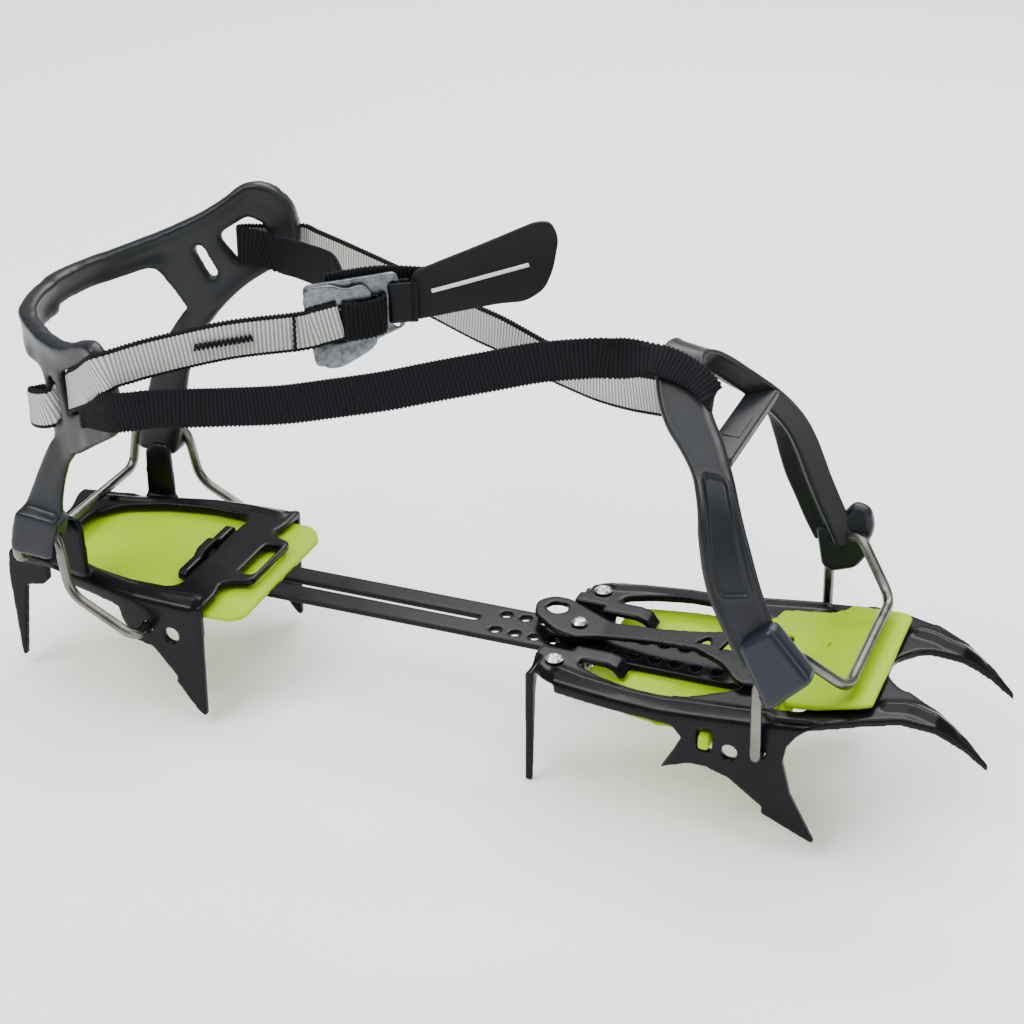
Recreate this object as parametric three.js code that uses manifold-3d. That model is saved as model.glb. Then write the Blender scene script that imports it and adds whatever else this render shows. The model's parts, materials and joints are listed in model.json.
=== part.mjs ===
// Strap-on mountaineering crampon: toe section, heel section, linking bar, wire bails,
// moulded baskets and the webbing loop with its buckle. Millimetres, +X toe, +Y left side, +Z up.
// Working frame: X = 0 at the lock rivet, Y = 0 on the centre line, Z = 0 at the sole of the boot.
import * as THREE from 'three';
import { mergeVertices } from 'three/addons/utils/BufferGeometryUtils.js';
import Module from 'manifold-3d';

const wasm = await Module();
wasm.setup();

// ---- driving dimensions -------------------------------------------------------------------
const SHEET = 3; // frame sheet thickness
const SIDE_TIP = -43; // levels of the point tips: toe side, toe rear, heel side, heel rear
const REAR_TIP = -50.5;
const HEEL_SIDE_TIP = -46.6;
const HEEL_REAR_TIP = -46.2;
const GAP = 0.3; // clearance between neighbouring pieces
const CUT = 120; // half size of a cutting prism
const FRONT_HALF = 46; // half width of the toe section
const HEEL_TOP = 2; // top face of the heel section
const HEEL_HALF = 44; // half width of the heel section
const BAR_HALF = 11.7; // half width of the linking bar
const BAR_THICK = 2.5;
const BAR_TOP = -5.2;
const HOLE_PITCH = 8; // spacing of the adjustment holes
const HOLE_ROW = 6; // distance of a hole row from the centre line
const HOLE_RADIUS = 2.2;
const WIRE_RADIUS = 2;
const STRAP_WIDTH = 15;
const STRAP_THICK = 1.8;
const BASKET_WALL = 4.5;
const TOE_HOLE = [83.3, -9.5]; // x, z of the toe bail holes
const HEEL_HOLE = [-162, -11.3]; // x, z of the heel bail holes
const BLADE_RIVETS = [[74, 4.5], [76, -17]]; // x, y of the rivets that hold the lock blade down

// ---- helpers ------------------------------------------------------------------------------
function toSolid(geometry) {
  const bare = geometry.index ? geometry.toNonIndexed() : geometry.clone();
  bare.deleteAttribute('normal');
  bare.deleteAttribute('uv');
  const merged = mergeVertices(bare, 1e-4);
  const vertProperties = new Float32Array(merged.attributes.position.array);
  const triVerts = new Uint32Array(merged.index.array);
  const solid = new wasm.Manifold(new wasm.Mesh({ numProp: 3, vertProperties, triVerts }));
  if (solid.volume() > 0) {
    return solid;
  }
  const flipped = triVerts.slice();
  for (let i = 0; i < flipped.length; i += 3) {
    [flipped[i], flipped[i + 1]] = [flipped[i + 1], flipped[i]];
  }
  return new wasm.Manifold(new wasm.Mesh({ numProp: 3, vertProperties, triVerts: flipped }));
}

function toMesh(name, solid, material) {
  const mesh = solid.getMesh();
  const geometry = new THREE.BufferGeometry();
  geometry.setAttribute('position', new THREE.BufferAttribute(mesh.vertProperties, 3));
  geometry.setIndex(new THREE.BufferAttribute(mesh.triVerts, 1));
  geometry.computeVertexNormals();
  const result = new THREE.Mesh(geometry, material);
  result.name = name;
  return result;
}

function union(solids) {
  return solids.reduce((sum, solid) => sum.add(solid));
}

// Closed outline through corner points, each corner rounded by up to the given radius.
function roundedShape(points, radius = 0) {
  const shape = new THREE.Shape();
  const count = points.length;
  const corners = points.map(([x, y]) => new THREE.Vector2(x, y));
  for (let i = 0; i < count; i += 1) {
    const here = corners[i];
    const before = corners[(i + count - 1) % count];
    const after = corners[(i + 1) % count];
    const cut = Math.min(radius, before.distanceTo(here) * 0.45, after.distanceTo(here) * 0.45);
    const start = here.clone().add(before.clone().sub(here).setLength(cut));
    const end = here.clone().add(after.clone().sub(here).setLength(cut));
    if (i === 0) {
      shape.moveTo(start.x, start.y);
    } else {
      shape.lineTo(start.x, start.y);
    }
    if (cut > 0.01) {
      shape.quadraticCurveTo(here.x, here.y, end.x, end.y);
    }
  }
  shape.closePath();
  return shape;
}

// Prisms of an outline along one axis, between two levels.
function prism(shape, from, to, segments) {
  const geometry = new THREE.ExtrudeGeometry(shape, {
    depth: to - from,
    bevelEnabled: false,
    curveSegments: segments,
  });
  geometry.translate(0, 0, from);
  return geometry;
}

function alongZ(points, from, to, radius = 0, segments = 3) {
  return toSolid(prism(roundedShape(points, radius), from, to, segments));
}

function alongY(points, from, to, radius = 0, segments = 3) {
  const geometry = prism(roundedShape(points, radius), -to, -from, segments);
  geometry.rotateX(Math.PI / 2);
  return toSolid(geometry);
}

function alongX(points, from, to, radius = 0, segments = 3) {
  const geometry = prism(roundedShape(points, radius), from, to, segments);
  const turn = new THREE.Matrix4().makeBasis(
    new THREE.Vector3(0, 1, 0),
    new THREE.Vector3(0, 0, 1),
    new THREE.Vector3(1, 0, 0),
  );
  geometry.applyMatrix4(turn);
  return toSolid(geometry);
}

function cylinder(center, radius, length, axis, sides = 16) {
  const geometry = new THREE.CylinderGeometry(radius, radius, length, sides);
  if (axis === 'z') {
    geometry.rotateX(Math.PI / 2);
  }
  geometry.translate(...center);
  return toSolid(geometry);
}

// Outline of a strip of constant width along a smooth line through the points.
function strip(points, width, samples = 24, offset = 0) {
  const line = new THREE.SplineCurve(points.map(([x, y]) => new THREE.Vector2(x, y)));
  const left = [];
  const right = [];
  for (let i = 0; i <= samples; i += 1) {
    const place = line.getPointAt(i / samples);
    const along = line.getTangentAt(i / samples);
    const side = new THREE.Vector2(-along.y, along.x);
    const outer = place.clone().addScaledVector(side, offset + width / 2);
    const inner = place.clone().addScaledVector(side, offset - width / 2);
    left.push([outer.x, outer.y]);
    right.push([inner.x, inner.y]);
  }
  return [...left, ...right.reverse()];
}

function mirrorPoints(half) {
  const other = half.map(([x, y]) => [x, -y]).reverse();
  return [...half, ...other];
}

function mirrored(solid) {
  return solid.add(solid.mirror([0, 1, 0]));
}

// Round wire bent through the points, with the given bend radius.
function wire(points, radius, bend, steps) {
  const path = new THREE.CurvePath();
  const nodes = points.map((p) => new THREE.Vector3(...p));
  let start = nodes[0];
  for (let i = 1; i < nodes.length - 1; i += 1) {
    const back = nodes[i - 1].clone().sub(nodes[i]);
    const ahead = nodes[i + 1].clone().sub(nodes[i]);
    const cut = Math.min(bend, back.length() * 0.45, ahead.length() * 0.45);
    const from = nodes[i].clone().add(back.setLength(cut));
    const to = nodes[i].clone().add(ahead.setLength(cut));
    path.add(new THREE.LineCurve3(start, from));
    path.add(new THREE.QuadraticBezierCurve3(from, nodes[i].clone(), to));
    start = to;
  }
  path.add(new THREE.LineCurve3(start, nodes[nodes.length - 1]));
  const section = new THREE.Shape();
  section.absarc(0, 0, radius, 0, Math.PI * 2, false);
  const geometry = new THREE.ExtrudeGeometry(section, { steps, extrudePath: path, curveSegments: 2 });
  return toSolid(geometry);
}

// ---- toe section --------------------------------------------------------------------------
const ROCKER = [[-12, 0], [45, 0], [96, 5.3], [118, 8], [130, 8.5], [141, 5.5], [152, -1.5], [162, -11]];

function frontTopSheet() {
  const outline = mirrorPoints([
    [-8.5, 18], [-8.5, 27], [-6.2, 32.5], [-2.5, 36.8], [3.5, 39.8], [12, 41.2], [28, 43.4], [56, 45.2], [80, FRONT_HALF], [100, 45.4],
    [113, 41], [128, 35], [146, 29.3], [160.5, 25.8], [160.5, 24.8], [147, 21.5], [134, 17.5], [125, 13.5],
    [119, 6],
  ]);
  const lower = ROCKER.map(([x, z]) => [x, z - SHEET]).reverse();
  const sheet = alongZ(outline, -CUT, CUT, 3).intersect(alongY([...ROCKER, ...lower], -CUT, CUT));
  const opening = mirrorPoints([[8.5, 17], [9, 27], [19, 31.6], [32, 35], [44, 35.6], [54, 34.3], [70, 26]]);
  const toeOpening = mirrorPoints([[79, 30], [84, 36.5], [97, 36.5]]);
  return sheet
    .subtract(alongZ(opening, -CUT, CUT, 3))
    .subtract(alongZ(toeOpening, -CUT, CUT, 3))
    .subtract(alongZ([[-12, -18], [9.5, -18], [9.5, 18], [-12, 18]], -CUT, CUT));
}

// The middle of the rear cross bar is sunk to let the linking bar pass over it.
function sunkCrossBar() {
  const floor = BAR_TOP - BAR_THICK - GAP;
  const half = [[0, floor], [15, floor], [19.5, 0], [25, 0], [25, -SHEET], [21.3, -SHEET], [16.6, floor - SHEET]];
  const profile = [...half, ...half.slice(1).map(([y, z]) => [-y, z]).reverse()];
  return alongX(profile, -9, 8.5);
}

// Side beam flange with the large side point, its small rear tip and the three holes.
function sideFlange() {
  const profile = [
    [4, -1], [4, -6], [50, -6.5], [54.4, -10.2], [51.4, -16.6], [46.6, -25.4], [56.8, -20.8], [64, -20.4],
    [72.3, -22.7], [85.4, -32.2], [84.8, -34.6], [103.6, SIDE_TIP], [105, SIDE_TIP], [95.2, -25],
    [91.8, -12], [92.8, -5.4], [96, -0.5], [100.5, 3.6], [100.5, 5], [96, 4], [45, -1],
  ];
  const line = [[3, 39.7], [12, 41.2], [28, 43.4], [56, 45.2], [80, FRONT_HALF], [106, 45.6]];
  const plan = strip(line, SHEET, 14, -SHEET / 2);
  const blank = alongZ(plan, -CUT, CUT).intersect(alongY(profile, 30, 60));
  return blank
    .subtract(alongY([[60.4, -13.4], [66, -13.4], [66, -4.8], [60.4, -4.8]], 30, 60, 1))
    .subtract(cylinder([72.4, 45, -12], 3, 30, 'y'))
    .subtract(cylinder([TOE_HOLE[0], 45, TOE_HOLE[1]], WIRE_RADIUS + 0.5, 30, 'y'));
}

function rearPoint() {
  const profile = [[26.5, -1], [35, -1], [34.8, -8], [33.9, REAR_TIP], [32.4, REAR_TIP], [30, -12]];
  return alongX(profile, -9, -6);
}

// Hooked guide that keeps the linking bar central.
function barGuide() {
  const profile = [[4, 0], [18, 0], [22.5, -1.4], [25.5, -5.5], [23.5, -6.5], [21, -3.5], [17.5, -2.4], [4, -2.4]];
  return alongY(profile, 14, 22.5);
}

function buildFrontFrame() {
  const side = union([sideFlange(), rearPoint(), barGuide()]);
  const bores = [-27.4, 27.4].map((y) => cylinder([0, y, 0], 2.3, 20, 'z', 12));
  return frontTopSheet().add(sunkCrossBar()).add(mirrored(side)).subtract(union(bores));
}

const FLAP = [[84, -10.4], [93.8, 5.9], [97, 5.9], [117, 9.3], [119.4, 9], [120.2, 10.8], [117.5, 11.6],
  [96, 8.4], [91.8, 7.8], [82, -8.4]];

const COVER = [[60, -10.4], [68.8, 3], [80, 4.1], [94, 5.6], [94, 7.4], [80, 6], [67.8, 4.8], [58, -8.4]];

// Snow-shedding plate under the toe section, with the flap that folds over the toe cross bar
// and the cover that climbs over the left half of the bar behind it.
function buildFrontPlate() {
  const plan = mirrorPoints([[9.5, 28], [13, 34.5], [36, 39.6], [60, 41.4], [85, 41.8]]);
  const tray = alongZ(plan, -10.4, -8.4, 3);
  const flapPlan = mirrorPoints([[80, 33], [93.8, 33.6], [95.4, 38.2], [117.5, 34.4], [121, 30.5]]);
  const flap = alongZ(flapPlan, -CUT, CUT, 2).intersect(alongY(FLAP, -CUT, CUT));
  const peg = alongY([[61, -12.6], [65.4, -12.6], [65.4, -6.6], [61, -6.6]], 38, 47.2, 0.5);
  const tunnel = alongX([[-13, -8.4], [13, -8.4], [12.4, -4.4], [-12.4, -4.4]], 70, CUT);
  const coverPlan = [[56, 12], [56, 23.5], [69.5, 23.5], [71, 31], [95, 33], [95, 12]];
  const cover = alongZ(coverPlan, -CUT, CUT, 1).intersect(alongY(COVER, -CUT, CUT));
  return tray.add(flap).add(cover).subtract(tunnel).add(mirrored(peg));
}

// Cross-headed screw: domed head on the sheet and a short shank through it.
function buildFrameScrew(y) {
  const head = new THREE.LatheGeometry(
    [[0, GAP], [3.6, GAP], [3.6, 1], [2.4, 1.9], [0, 2.1]].map(([r, h]) => new THREE.Vector2(r, h)),
    16,
  );
  head.rotateX(Math.PI / 2);
  head.translate(0, y, 0);
  const shank = cylinder([0, y, -2], 2, 5, 'z', 12);
  const cross = [[2, 0.45], [0.45, 2]].map(([a, b]) => (
    alongZ([[-a, y - b], [a, y - b], [a, y + b], [-a, y + b]], 1.4, 3)
  ));
  return toSolid(head).add(shank).subtract(union(cross));
}

// ---- length adjustment --------------------------------------------------------------------
const BLADE = [[-24, 0.6], [10, 0.6], [40, 3.2], [66, 5.6], [84, 6.9]];

function buildLockBlade() {
  const right = [[12, -5.4], [30, -4.7], [47, -6.2], [60, -15], [69, -27], [80, -27], [80, -12]];
  const left = [[76, 9], [58, 9], [47, 6.2], [30, 4.7], [12, 5.4]];
  const outline = [[-8, -7], [2, -9.5], [8, -6.5], ...right, ...left, [7, 8], [-2, 13], [-10, 17.5], [-17, 17], [-21.5, 11],
    [-19, 2], [-13, -3]];
  const lower = BLADE.map(([x, z]) => [x, z - 2]).reverse();
  const sheet = alongZ(outline, -CUT, CUT, 3, 4).intersect(alongY([...BLADE, ...lower], -CUT, CUT));
  const cuts = [
    alongZ([[-17, 8], [-15, 13], [-9, 13], [-7.5, 7], [-12, 4]], -CUT, CUT, 2),
    cylinder([0, 0, 0], 2.3, 20, 'z', 12),
    alongZ([[46, -2.6], [53, -2.6], [50, 3.2]], -CUT, CUT, 0.5),
    alongZ([[56, -6], [67, -6], [67, 6], [59, 6]], -CUT, CUT, 1),
    ...BLADE_RIVETS.map(([x, y]) => cylinder([x, y, 0], 2, 30, 'z', 12)),
  ];
  return sheet.subtract(union(cuts));
}

function buildLockPin() {
  const profile = [[0, BAR_TOP + GAP], [2, BAR_TOP + GAP], [2, 0.9], [3.3, 0.9], [3.3, 1.6], [2.2, 2.5], [0, 2.7]];
  const geometry = new THREE.LatheGeometry(profile.map(([r, h]) => new THREE.Vector2(r, h)), 16);
  geometry.rotateX(Math.PI / 2);
  return toSolid(geometry);
}

function buildPinWasher() {
  const ring = cylinder([0, 0, -2.2], 5, 1, 'z', 16);
  return ring.subtract(cylinder([0, 0, -2.2], 2.3, 10, 'z', 12));
}

function buildBladeRivet([x, y]) {
  const profile = [[0, 3.4], [1.7, 3.4], [1.7, 6.8], [3, 6.8], [2.6, 7.8], [0, 8.3]];
  const rivet = new THREE.LatheGeometry(profile.map(([r, h]) => new THREE.Vector2(r, h)), 12);
  rivet.rotateX(Math.PI / 2);
  rivet.translate(x, y, 0);
  return toSolid(rivet);
}

// Two-arm bar with a long slot, two rows of holes and the T-shaped heel end.
function buildLinkingBar() {
  const plan = mirrorPoints([[-161, 8], [-150, 8], [-144, BAR_HALF], [64, BAR_HALF], [67, 8]]);
  const low = BAR_TOP - BAR_THICK;
  const side = [[-160, 2], [-156.5, 2], [-156.5, -3.4], [-153.5, BAR_TOP], [70, BAR_TOP], [70, low], [-157, low],
    [-160, -4.5]];
  const bar = alongZ(plan, -CUT, CUT, 2).intersect(alongY(side, -CUT, CUT));
  const headHalf = [[20, -1.9], [21, -1], [21, 1.4], [19.5, 2.5], [8, 2.5], [4.5, 4.4]];
  const headOther = headHalf.map(([y, z]) => [-y, z]).reverse();
  const head = alongX([...headHalf, ...headOther], -160.2, -156.3);
  const holes = [];
  for (let i = 0; i < 12; i += 1) {
    for (const y of [-HOLE_ROW, HOLE_ROW]) {
      holes.push(cylinder([-32 + i * HOLE_PITCH, y, BAR_TOP], HOLE_RADIUS, 20, 'z', 8));
    }
  }
  const slot = alongZ([[-128, -2], [-41, -2], [-41, 2], [-128, 2]], -CUT, CUT, 2);
  return bar.add(head).subtract(slot).subtract(union(holes));
}

// ---- heel section -------------------------------------------------------------------------
function heelTopSheet() {
  const outline = mirrorPoints([
    [-228, 12], [-232, 24], [-232, 30], [-217, 31.2], [-205, 34.4], [-193, 37.8], [-180, 41.2], [-168, 43.2],
    [-150, HEEL_HALF], [-138, HEEL_HALF], [-138, 30], [-140, 23], [-136, 19], [-129.5, 17.5],
  ]);
  const opening = mirrorPoints([
    [-217, 11], [-209, 21.5], [-192, 29], [-174, 32.4], [-157, 32], [-154, 27], [-155, 20],
  ]);
  const window = [[-138, -12.5], [-131.5, -12.5], [-131.5, 12.5], [-138, 12.5]];
  return alongZ(outline, HEEL_TOP - SHEET, HEEL_TOP, 3)
    .subtract(alongZ(opening, -CUT, CUT, 4))
    .subtract(alongZ(window, -CUT, CUT, 2));
}

function heelSideFlange() {
  const profile = [
    [-205, 1], [-204, -4.5], [-180, -5], [-175.3, -6], [-173.8, -11], [-170.5, -16], [-167.8, -18.8],
    [-160.2, -20], [-150.3, -31.4], [-151.1, -33.4], [-140.3, HEEL_SIDE_TIP], [-138.6, HEEL_SIDE_TIP], [-138, 1],
  ];
  const line = [[-207, 33.8], [-193, 37.8], [-180, 41.2], [-168, 43.2], [-150, HEEL_HALF], [-136, HEEL_HALF]];
  const plan = strip(line, SHEET, 14, -SHEET / 2);
  const blank = alongZ(plan, -CUT, CUT).intersect(alongY(profile, 25, 60));
  return blank
    .subtract(cylinder([-151.6, 45, -12.9], 3.2, 30, 'y'))
    .subtract(cylinder([HEEL_HOLE[0], 45, HEEL_HOLE[1]], WIRE_RADIUS + 0.5, 30, 'y'));
}

function heelRearPoint() {
  const profile = [[-232, 1], [-214, 1], [-214, -8], [-217, -11], [-224.8, -12.5], [-228.6, HEEL_REAR_TIP],
    [-230.4, HEEL_REAR_TIP], [-232.8, -9]];
  return alongY(profile, 27, 27 + SHEET);
}

function heelUprightTab() {
  const profile = [[-204.5, 0], [-204, 22], [-201, 26], [-195, 26], [-192.5, 22], [-191.5, 0]];
  return alongY(profile, 33.8, 33.8 + SHEET, 1.5);
}

function buildHeelFrame() {
  const side = union([heelSideFlange(), heelRearPoint(), heelUprightTab()]);
  return heelTopSheet().add(mirrored(side));
}

// Snow-shedding plate under the heel section with its front lip.
function buildHeelPlate() {
  const plan = mirrorPoints([
    [-221, 14], [-212, 25.5], [-202, 29.8], [-190, 34], [-176, 38], [-160, 40.1], [-135, 40.5], [-129, 39.5],
    [-124.5, 33], [-125, 16],
  ]);
  const slot = [[-162.5, -9], [-152, -9], [-152, 9], [-162.5, 9]];
  return alongZ(plan, -4.4, -2.4, 3).subtract(alongZ(slot, -CUT, CUT));
}

// ---- bails and baskets --------------------------------------------------------------------
const TOE_WIRE = [[TOE_HOLE[0], 42.3, TOE_HOLE[1]], [TOE_HOLE[0], 51, TOE_HOLE[1]], [82.6, 51, 24],
  [94, 46.8, 34.5], [110.5, 33.4, 15.9]];
const HEEL_WIRE = [[HEEL_HOLE[0], 39.4, HEEL_HOLE[1]], [HEEL_HOLE[0], 52.6, HEEL_HOLE[1]], [-189.4, 52.6, 3],
  [-193.7, 51.2, 27], [-214.5, 46.5, 27.5], [-216.7, 45.1, 7.5]];

function bail(half, radius, steps) {
  const other = half.map(([x, y, z]) => [x, -y, z]).reverse();
  return wire([...half, ...other], radius, 6, steps);
}

// Front and rear edges of the toe basket, from the crown down to the left end block.
const ARCH_FRONT = [[45.5, 0, 118.6], [51, 16, 111.5], [60.2, 27, 100.4], [67.8, 36.6, 89.6], [74, 44.2, 77.3],
  [79.7, 47.4, 62.9], [86.1, 48.8, 47.4], [91.5, 50.5, 33]];
const ARCH_REAR = [[30, 0, 121], [33, 19, 111], [46, 32, 96.5], [56.7, 42.3, 85.5], [62.3, 48.8, 74],
  [66.2, 51.8, 60.5], [70.6, 53, 44.5], [76.5, 52.5, 30]];

// Curved strap of constant thickness between two edge lines and their mirror images.
function loftedArch(frontHalf, rearHalf, thickness, samples) {
  const full = (half) => {
    const right = half.slice(1).map(([x, y, z]) => new THREE.Vector3(x, -y, z)).reverse();
    return new THREE.CatmullRomCurve3([...right, ...half.map((p) => new THREE.Vector3(...p))]);
  };
  const front = full(frontHalf).getSpacedPoints(samples);
  const rear = full(rearHalf).getSpacedPoints(samples);
  const rings = front.map((edge, i) => {
    const ahead = front[Math.min(i + 1, samples)].clone().sub(front[Math.max(i - 1, 0)]);
    const inward = ahead.cross(edge.clone().sub(rear[i])).setLength(thickness);
    return [edge, rear[i], rear[i].clone().add(inward), edge.clone().add(inward)];
  });
  const corners = [];
  const quad = (a, b, c, d) => corners.push(a, b, c, a, c, d);
  for (let i = 0; i < samples; i += 1) {
    for (let k = 0; k < 4; k += 1) {
      const next = (k + 1) % 4;
      quad(rings[i][k], rings[i + 1][k], rings[i + 1][next], rings[i][next]);
    }
  }
  quad(...rings[0]);
  quad(...rings[samples].slice().reverse());
  return toSolid(new THREE.BufferGeometry().setFromPoints(corners));
}

// Arch over the instep: two legs, a brace between them and an end block on each leg.
function buildToeBasket() {
  const arch = loftedArch(ARCH_FRONT, ARCH_REAR, 3.6, 44);
  const brace = alongX([[-32, 91.6], [32, 91.6], [31, 95.2], [-31, 95.2]], 53.5, 64.3);
  const block = alongY([[87, 14], [102.5, 29], [87, 46.5], [75.5, 37]], 46.2, 55.5, 3, 4);
  const strapSlot = alongZ([[34.5, -9], [41.5, -9], [41.5, 9], [34.5, 9]], 100, CUT + 10, 1);
  return arch.subtract(strapSlot).add(brace).add(mirrored(block))
    .subtract(bail(TOE_WIRE, WIRE_RADIUS + GAP, 56));
}

// Side outlines of the heel basket. The ears are flexed: the left one stands higher.
const BAND_BACK = [[-232, 96], [-232, 109.5]];
const LEFT_EAR = [[-213, 110], [-197, 115.2], [-181.5, 122.5], [-173, 128.2], [-167, 133.8], [-161, 135],
  [-155, 132], [-149.5, 124.5], [-147.2, 114.5], [-148, 105], [-157, 97.4], [-163, 93.8], [-169.4, 88.5],
  [-175, 82.2], [-181.3, 73]];
const LEFT_FOOT = [[-187.5, 83.3], [-197.5, 101.8], [-207, 99]];
const RIGHT_EAR = [[-212, 108.8], [-194, 107.6], [-184.4, 107.4], [-179, 108.8], [-173, 111.8], [-168, 114],
  [-162.5, 114], [-158, 107], [-154.3, 98], [-154, 84], [-156, 80], [-167.6, 72.2], [-180.7, 63]];
const RIGHT_FOOT = [[-192.4, 67], [-196.5, 92.5], [-204, 93.5]];
const LEFT_LEG = [[-181.3, 73], [-188.5, 55], [-191.5, 38], [-192.5, 28], [-213, 28], [-204, 56], [-196.8, 70],
  [-187.2, 84]];
const RIGHT_LEG = [[-180.7, 63], [-186, 58], [-189.7, 48.4], [-191.9, 38.8], [-192.5, 28], [-213, 28],
  [-207.5, 38.2], [-198.1, 58.3], [-192.4, 68]];

// Band round the heel with two flared ears and a leg down to an end block on each side.
function buildHeelBasket() {
  const line = [
    [-142, -69], [-157, -62.5], [-172, -56], [-186, -49.3], [-199, -41.5], [-211, -30], [-217.5, -15], [-219, 0],
    [-217.5, 15], [-211, 30], [-199, 42], [-186, 50], [-172, 58.5], [-157, 67.5], [-142, 78],
  ];
  const wall = alongZ(strip(line, BASKET_WALL, 48), -CUT, 2 * CUT);
  const left = alongY([...BAND_BACK, ...LEFT_EAR, ...LEFT_FOOT], -1, CUT, 3);
  const right = alongY([...BAND_BACK, ...RIGHT_EAR, ...RIGHT_FOOT], -CUT, 0, 3);
  const openings = [
    alongY([[-184.4, 108.6], [-181, 110], [-175.4, 95.9], [-178.8, 94.5]], 0, CUT, 2),
    alongY([[-175.5, 113], [-164.5, 120.5], [-158.5, 116], [-158, 108], [-168.5, 101]], 0, CUT, 2),
    alongY([[-192.6, 91], [-189, 92], [-186, 75.5], [-189.4, 74.5]], -CUT, 0, 1),
    alongY([[-184.6, 96], [-168, 104], [-162, 101], [-162.5, 92], [-181, 80]], -CUT, 0, 2),
  ];
  const leftLeg = alongZ(strip([[-179, 54.2], [-190, 48.6], [-214, 47]], BASKET_WALL, 10), -CUT, CUT);
  const rightLeg = alongZ(strip([[-179, -52.8], [-190, -48.2], [-214, -47]], BASKET_WALL, 10), -CUT, CUT);
  const legs = leftLeg.intersect(alongY(LEFT_LEG, 0, CUT, 3)).add(rightLeg.intersect(alongY(RIGHT_LEG, -CUT, 0, 3)));
  const block = alongY([[-214.5, 17], [-195.5, 16], [-191, 34], [-210, 36]], 43.4, 54.6, 3, 4);
  return wall.intersect(left.add(right)).subtract(union(openings)).add(legs).add(mirrored(block))
    .subtract(bail(HEEL_WIRE, WIRE_RADIUS + GAP, 64));
}

// ---- webbing, buckle and pull tab ---------------------------------------------------------
// A run of webbing: plan line, and side line that gives its height along X.
function webbing(plan, side) {
  const wall = alongZ(strip(plan, STRAP_THICK, 12), -CUT, 2 * CUT);
  const upper = side.map(([x, z]) => [x, z + STRAP_WIDTH / 2]);
  const lower = side.map(([x, z]) => [x, z - STRAP_WIDTH / 2]).reverse();
  return wall.intersect(alongY([...upper, ...lower], -CUT, CUT));
}

function buildNearStrap() {
  const plan = [[-168, -63.5], [-151, -69.4], [-140, -64.5], [-118, -53], [-50, -35], [28, -21]];
  return webbing(plan, [
    [-170, 90], [-151, 93], [-140, 94.2], [-118, 93.7], [-97, 95.8], [-79, 99.2], [-61, 103], [-43, 107.8],
    [-25, 113], [-7, 118], [10, 121], [29, 122.5],
  ]);
}

function buildFarStrap() {
  const plan = [[-138, 76], [-99, 54.5], [-50, 35], [28, 8]];
  return webbing(plan, [[-140, 107], [-99, 104.5], [-57, 99.5], [-21, 95.5], [2, 97], [29, 106]]);
}

function buildAnkleStrapNear() {
  const plan = [[-151, -54], [-140, -47], [-120, -33.5], [-104, -23]];
  return webbing(plan, [[-153, 104], [-142, 106.6], [-122, 110], [-103, 113]]);
}

function buildAnkleStrapFar() {
  const plan = [[-154, 62.5], [-128, 39], [-108, 17], [-98, 2]];
  return webbing(plan, [[-156, 106], [-128, 115], [-106, 122], [-96, 125]]);
}

// The buckle lies in a vertical plane that carries on the line of the sewn ankle strap.
const BUCKLE_PLACE = [-96, -17.5, 116];
const BUCKLE_TURN = 30;
const TAB_PLACE = [-71.1, -3.2, 124.5];
const TAB_TURN = 20;

function inBuckleFrame(solid) {
  return solid.rotate([0, 0, BUCKLE_TURN]).translate(BUCKLE_PLACE);
}

function buildBuckleFrame() {
  const outline = [[-5.3, 14.2], [29.3, 18], [32.6, -3], [20, -8.5], [4.4, -17.5], [-1.3, -17.6]];
  const plate = alongY(outline, -1, 1, 3, 4);
  const slots = [
    alongY([[25.6, 13.8], [28.4, 14.4], [30.2, -3.6], [27.4, -3.2]], -5, 5, 1),
    alongY([[8, 7], [22.4, 9.6], [24.2, -4.6], [9.5, -8]], -5, 5, 1.5),
    alongY([[0, 6], [4, 6.6], [5.5, -9], [1.5, -9.6]], -5, 5, 1),
  ];
  return inBuckleFrame(plate.subtract(union(slots)));
}

function buildBuckleClamp() {
  const outline = [[-5.4, 8], [-4.4, 14.5], [4.6, 15.2], [10.1, 13.2], [16.7, 15], [20.3, 10.8], [18.4, 6], [19.4, -4],
    [22.1, -7.4], [18.7, -11.3], [8.1, -17.2], [2.4, -17.5], [-0.5, -13], [-2, -8], [-3, 2]];
  const plate = alongY(outline, -3.3, -1.4, 2, 4);
  const slot = alongY([[2, 6.4], [14.5, 8.6], [16, -5.8], [3.6, -8.2]], -8, 0, 1.5);
  return inBuckleFrame(plate.subtract(slot));
}

function buildPullTab() {
  const outline = [[5.5, 9], [32.5, 20.7], [50, 28.6], [55.6, 29], [58.7, 22.8], [56.9, 11.1], [53.8, 3.2],
    [47, -1.6], [37.1, -2.6], [5.5, -9.5]];
  return alongY(outline, -1.1, 1.1, 3, 4).rotate([0, 0, TAB_TURN]).translate(TAB_PLACE);
}

// ---- assembly -----------------------------------------------------------------------------
function finish(color, roughness, metalness) {
  return new THREE.MeshStandardMaterial({ color, roughness, metalness });
}

const coatedSteel = () => finish(0x1b1f24, 0.45, 0.4);
const brightSteel = () => finish(0xa8a49a, 0.3, 1);
const zincSteel = () => finish(0x9aa0a6, 0.4, 0.9);
const limePlastic = () => finish(0xa8cd14, 0.5, 0);
const slatePlastic = () => finish(0x4a4e55, 0.45, 0);
const blackWeb = () => finish(0x16171a, 0.85, 0);
const greyWeb = () => finish(0xc9c6c2, 0.85, 0);

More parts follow.
